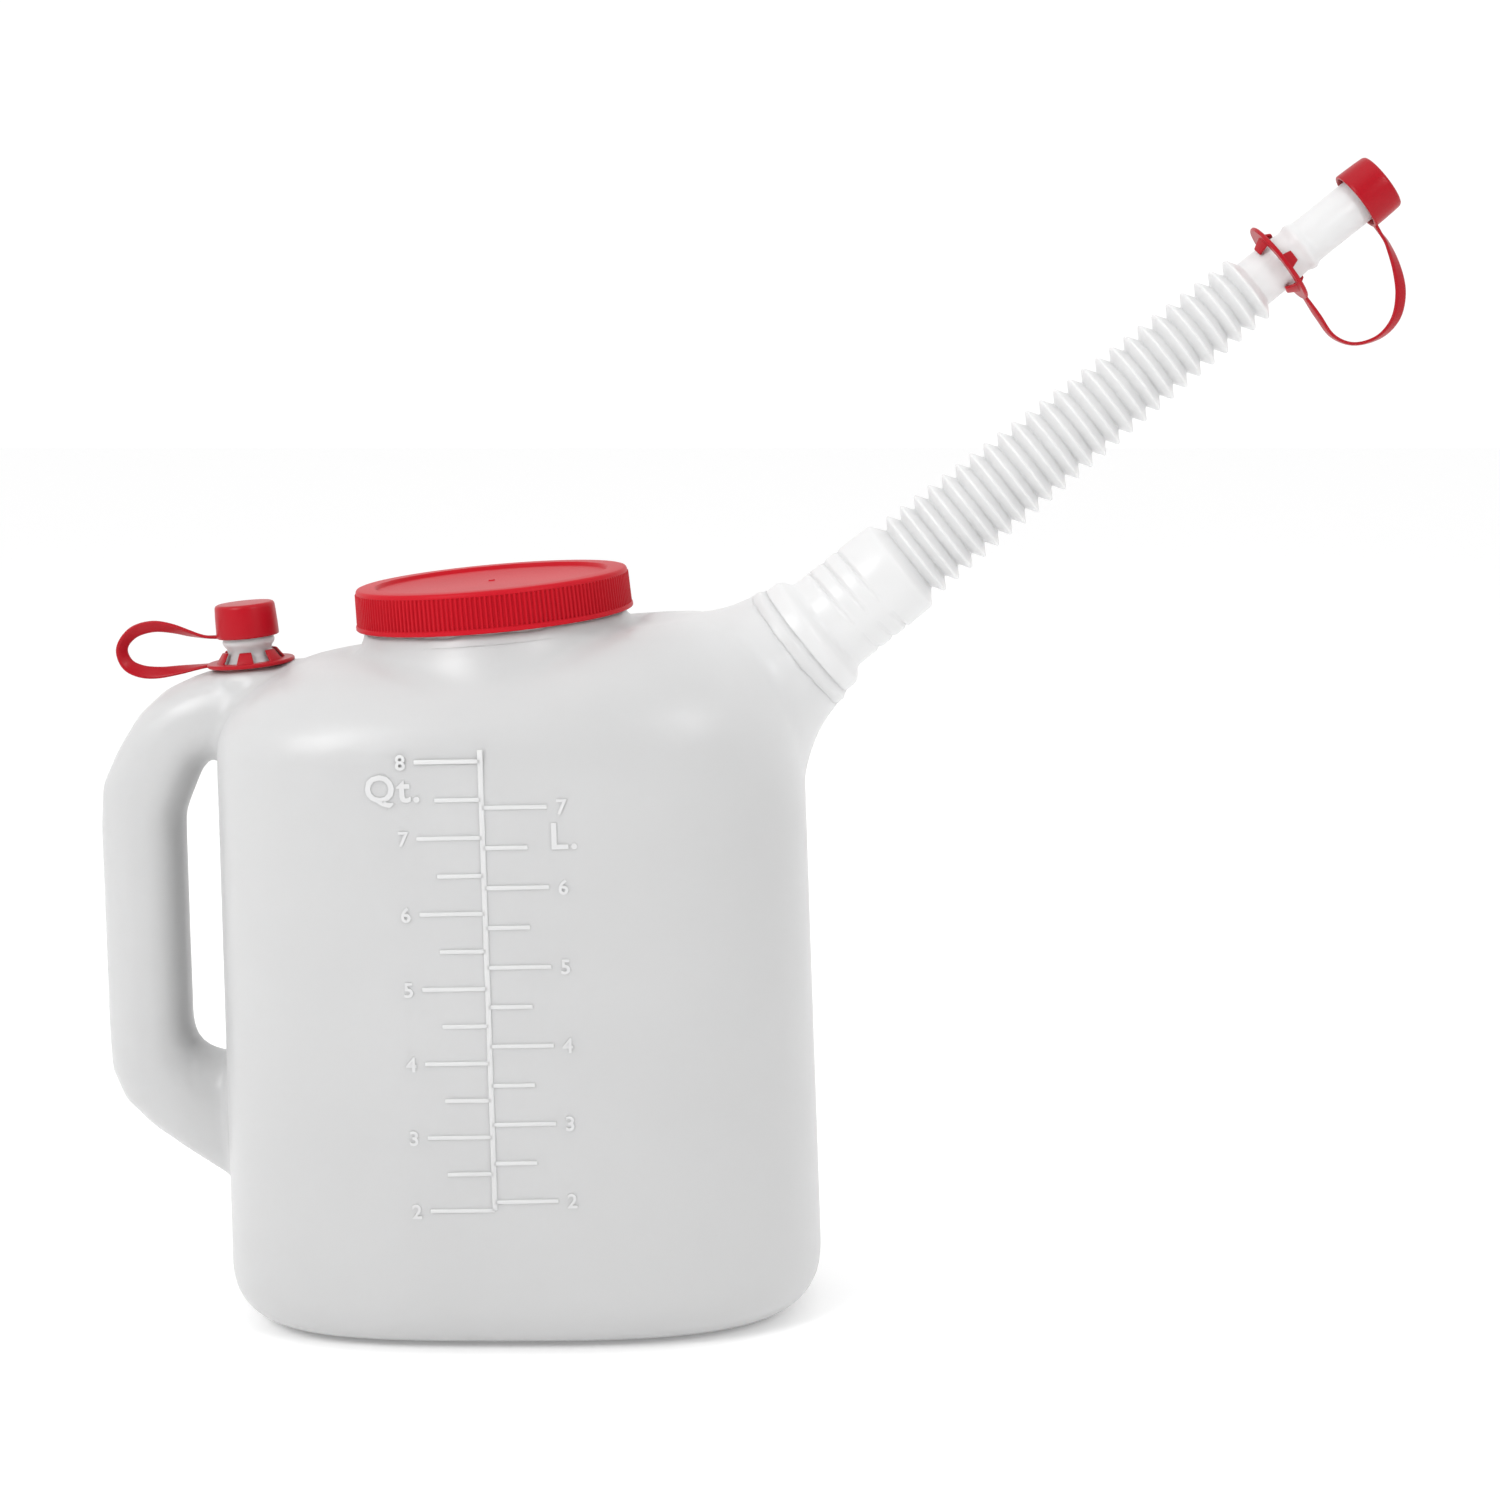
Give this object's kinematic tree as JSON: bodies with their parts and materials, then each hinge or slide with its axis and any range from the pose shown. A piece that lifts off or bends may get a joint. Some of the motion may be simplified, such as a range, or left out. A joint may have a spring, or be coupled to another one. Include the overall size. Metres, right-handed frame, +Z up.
{
  "type": "fluid measuring jug",
  "caption": "Translucent blow-moulded fluid jug with a hollow side handle, wide red screw lid, tethered vent cap and a flexible corrugated pouring spout with its own cap.",
  "frame": {"origin": "centre of the jug's flat base", "axes": "+X towards the spout, away from the handle; +Y across the jug; +Z up"},
  "size_m": [0.5319, 0.15, 0.4755],
  "materials": {
    "milky_plastic": "natural translucent polyethylene, satin",
    "spout_plastic": "natural low-density polyethylene, satin",
    "red_plastic": "red moulded polyethylene, satin gloss",
    "liner": "white foamed liner",
    "seal_rubber": "black rubber washer"
  },
  "bodies": {
    "jug": {"jug_body": "milky_plastic"},
    "liner": {"lid_liner": "liner"},
    "lid": {"fill_lid": "red_plastic"},
    "vent_tether": {"vent_strap_ring": "red_plastic", "vent_strap": "red_plastic"},
    "vent_cap": {"vent_cap": "red_plastic"},
    "spout_seal": {"spout_seal": "seal_rubber"},
    "spout_cuff": {"spout_cuff": "spout_plastic"},
    "fold_1": {"bellows_1": "spout_plastic"},
    "fold_2": {"bellows_2": "spout_plastic"},
    "fold_3": {"bellows_3": "spout_plastic"},
    "fold_4": {"bellows_4": "spout_plastic"},
    "fold_5": {"bellows_5": "spout_plastic"},
    "spout_tip": {"spout_tip": "spout_plastic"},
    "tip_tether": {"tip_strap_ring": "red_plastic", "tip_strap": "red_plastic"},
    "tip_cap": {"tip_cap": "red_plastic"}
  },
  "joints": [
    {"name": "lid_lift", "type": "slide", "parent": "jug", "child": "liner", "axis": [-0.0828, 0, 0.9966], "range_m": [0, 0.12]},
    {"name": "lid_turn", "type": "hinge", "parent": "liner", "child": "lid", "pos_m": [-0.01, 0, 0.291], "axis": [-0.0828, 0, 0.9966], "range_deg": [0, 450]},
    {"name": "vent_ring_turn", "type": "hinge", "parent": "jug", "child": "vent_tether", "pos_m": [-0.1107, 0, 0.2716], "axis": [-0.0872, 0, 0.9962], "range_deg": [-90, 90]},
    {"name": "vent_cap_lift", "type": "slide", "parent": "vent_tether", "child": "vent_cap", "axis": [-0.0872, 0, 0.9962], "range_m": [0, 0.025], "deforming": ["vent_strap"]},
    {"name": "spout_rise", "type": "slide", "parent": "jug", "child": "spout_seal", "axis": [0.7782, 0, 0.628], "range_m": [0, 0.0143]},
    {"name": "spout_turn", "type": "hinge", "parent": "spout_seal", "child": "spout_cuff", "pos_m": [0.1228, 0, 0.2852], "axis": [0.7782, 0, 0.628], "range_deg": [0, 720]},
    {"name": "bend_1", "type": "hinge", "parent": "spout_cuff", "child": "fold_1", "pos_m": [0.15959, 0, 0.31489], "axis": [0, 1, 0], "range_deg": [-12, 12]},
    {"name": "bend_2", "type": "hinge", "parent": "fold_1", "child": "fold_2", "pos_m": [0.18702, 0, 0.33702], "axis": [0, 1, 0], "range_deg": [-12, 12]},
    {"name": "bend_3", "type": "hinge", "parent": "fold_2", "child": "fold_3", "pos_m": [0.21446, 0, 0.35916], "axis": [0, 1, 0], "range_deg": [-12, 12]},
    {"name": "bend_4", "type": "hinge", "parent": "fold_3", "child": "fold_4", "pos_m": [0.24189, 0, 0.38129], "axis": [0, 1, 0], "range_deg": [-12, 12]},
    {"name": "bend_5", "type": "hinge", "parent": "fold_4", "child": "fold_5", "pos_m": [0.26932, 0, 0.40343], "axis": [0, 1, 0], "range_deg": [-12, 12]},
    {"name": "bend_6", "type": "hinge", "parent": "fold_5", "child": "spout_tip", "pos_m": [0.29676, 0, 0.42557], "axis": [0, 1, 0], "range_deg": [-12, 12]},
    {"name": "tip_ring_turn", "type": "hinge", "parent": "spout_tip", "child": "tip_tether", "pos_m": [0.30709, 0, 0.4339], "axis": [0.7782, 0, 0.628], "continuous": true},
    {"name": "tip_cap_pull", "type": "slide", "parent": "tip_tether", "child": "tip_cap", "axis": [0.7782, 0, 0.628], "range_m": [0, 0.025], "deforming": ["tip_strap"]}
  ],
  "couplings": [
    {"joint": "spout_rise", "follows": "spout_turn", "m_per_rad": 0.00113},
    {"joint": "bend_2", "follows": "bend_1", "ratio": 1},
    {"joint": "bend_3", "follows": "bend_1", "ratio": 1},
    {"joint": "bend_4", "follows": "bend_1", "ratio": 1},
    {"joint": "bend_5", "follows": "bend_1", "ratio": 1},
    {"joint": "bend_6", "follows": "bend_1", "ratio": 1}
  ]
}
